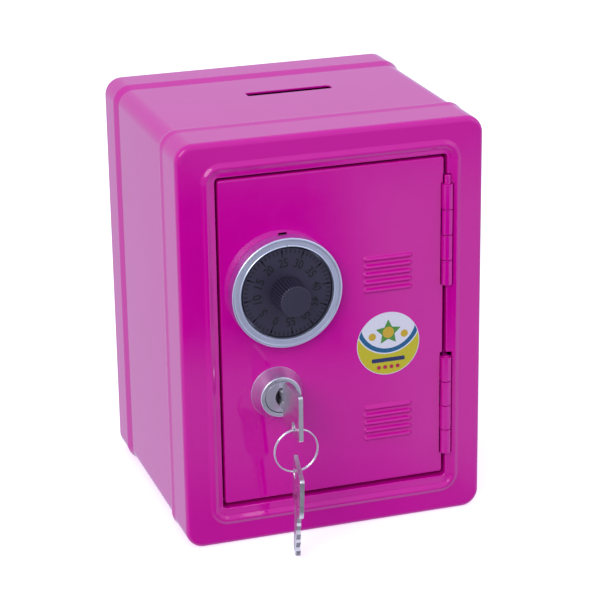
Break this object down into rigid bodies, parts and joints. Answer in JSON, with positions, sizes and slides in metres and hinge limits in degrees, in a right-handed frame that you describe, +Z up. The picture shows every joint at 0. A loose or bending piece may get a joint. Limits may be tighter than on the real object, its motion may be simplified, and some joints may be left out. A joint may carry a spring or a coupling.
{
  "type": "toy safe coin bank",
  "caption": "Small pressed-steel safe-shaped coin bank: hinged door with clicking dial, cam lock with keys on a ring, embossed louvres, and a coin slot in the top.",
  "frame": {"origin": "on the floor, under the middle of the overall box, which runs from the hanging keys to the rear cover", "axes": "+Z up; -Y out of the door; +X to the right seen from the front, towards the door's hinges"},
  "size_m": [0.122, 0.1468, 0.163],
  "materials": {
    "painted_steel": "glossy magenta-pink enamel on pressed steel",
    "chrome": "satin chrome plate",
    "black_plastic": "moulded, satin",
    "natural_nylon": "natural nylon",
    "zinc_steel": "zinc plated",
    "brass": "stamped",
    "key_steel": "nickel plated, lightly worn",
    "label": null
  },
  "bodies": {
    "case": {"body_wrap": "painted_steel", "front_frame": "painted_steel", "rear_cover": "painted_steel", "upper_hinge_frame_leaf": "painted_steel", "lower_hinge_frame_leaf": "painted_steel", "upper_hinge_pin": "painted_steel", "lower_hinge_pin": "painted_steel"},
    "door": {"door_panel": "painted_steel", "door_label": "label", "upper_hinge_door_leaf": "painted_steel", "lower_hinge_door_leaf": "painted_steel", "dial_housing": "chrome", "dial_click_spring": "zinc_steel", "lock_housing": "chrome", "lock_nut": "zinc_steel"},
    "dial": {"dial": "black_plastic", "dial_click_wheel": "natural_nylon", "dial_washer": "zinc_steel", "dial_screw": "zinc_steel"},
    "lock_plug": {"lock_plug": "chrome", "lock_wafers": "brass", "lock_cam": "zinc_steel", "cam_washer": "zinc_steel", "cam_screw": "zinc_steel"},
    "key": {"key": "key_steel"},
    "key_ring": {"key_ring": "key_steel"},
    "spare_key": {"spare_key": "key_steel"}
  },
  "joints": [
    {"name": "door_hinge", "type": "hinge", "parent": "case", "child": "door", "pos_m": [0.0462, -0.03555, 0.08], "axis": [0, 0, 1], "range_deg": [0, 120]},
    {"name": "dial_spin", "type": "hinge", "parent": "door", "child": "dial", "pos_m": [-0.0201, -0.03495, 0.1028], "axis": [0, -1, 0], "continuous": true},
    {"name": "lock_turn", "type": "hinge", "parent": "door", "child": "lock_plug", "pos_m": [-0.0236, -0.03495, 0.0612], "axis": [0, 1, 0], "range_deg": [0, 90]},
    {"name": "key_pull", "type": "slide", "parent": "lock_plug", "child": "key", "axis": [0, -1, 0], "range_m": [0, 0.025]},
    {"name": "ring_swing", "type": "hinge", "parent": "key", "child": "key_ring", "pos_m": [-0.0236, -0.05835, 0.05495], "axis": [1, 0, 0], "range_deg": [-80, 8]},
    {"name": "spare_key_swing", "type": "hinge", "parent": "key_ring", "child": "spare_key", "pos_m": [-0.0236, -0.05835, 0.03775], "axis": [0.9848, -0.1736, 0], "range_deg": [-40, 18]}
  ]
}
